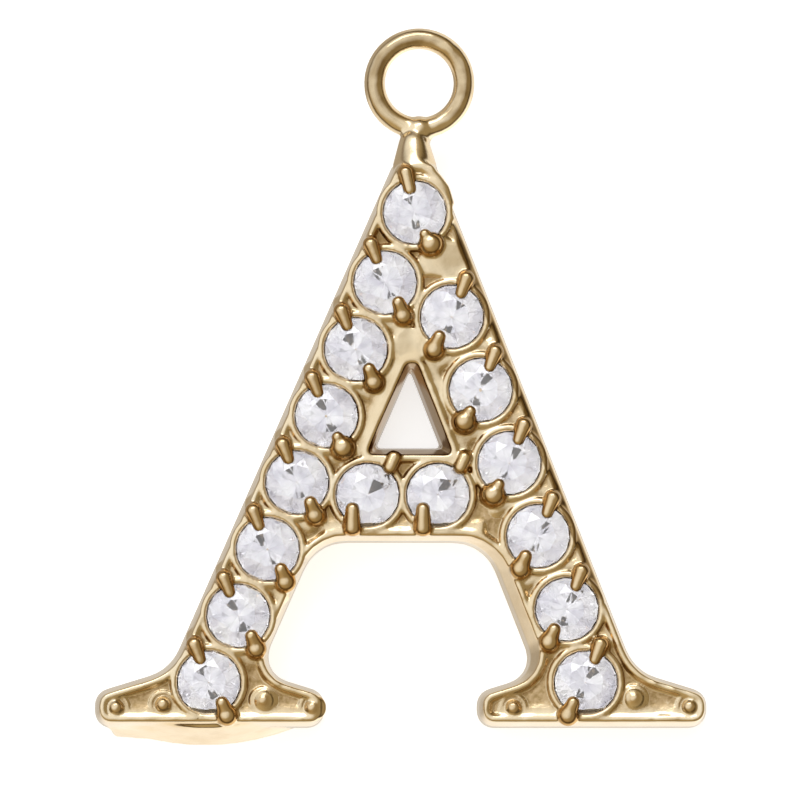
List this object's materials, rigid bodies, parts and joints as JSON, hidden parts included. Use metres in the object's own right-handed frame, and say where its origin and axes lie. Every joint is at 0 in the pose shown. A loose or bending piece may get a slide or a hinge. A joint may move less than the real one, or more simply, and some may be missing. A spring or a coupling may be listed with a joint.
{
  "type": "initial pendant",
  "caption": "Small cast letter pendant with a raised rim, round white stones held by claws, and a soldered wire loop at the tip.",
  "frame": {"origin": "middle of the pendant's outline, on the plane of its flat back", "axes": "the pendant lies on its back: +Z out of the front with the stones, +Y from the feet to the loop, +X to the right seen from the front"},
  "size_m": [0.0138, 0.016, 0.0018],
  "materials": {
    "gold_plate": "polished pale gold plate over cast brass",
    "white_stone": "clear, faceted and polished"
  },
  "bodies": {
    "root": {"letter_setting": "gold_plate", "stone_tip": "white_stone", "stone_left_1": "white_stone", "stone_left_2": "white_stone", "stone_left_3": "white_stone", "stone_left_4": "white_stone", "stone_left_5": "white_stone", "stone_left_6": "white_stone", "stone_left_7": "white_stone", "stone_right_1": "white_stone", "stone_right_2": "white_stone", "stone_right_3": "white_stone", "stone_right_4": "white_stone", "stone_right_5": "white_stone", "stone_right_6": "white_stone", "stone_bar_1": "white_stone", "stone_bar_2": "white_stone"}
  },
  "joints": []
}
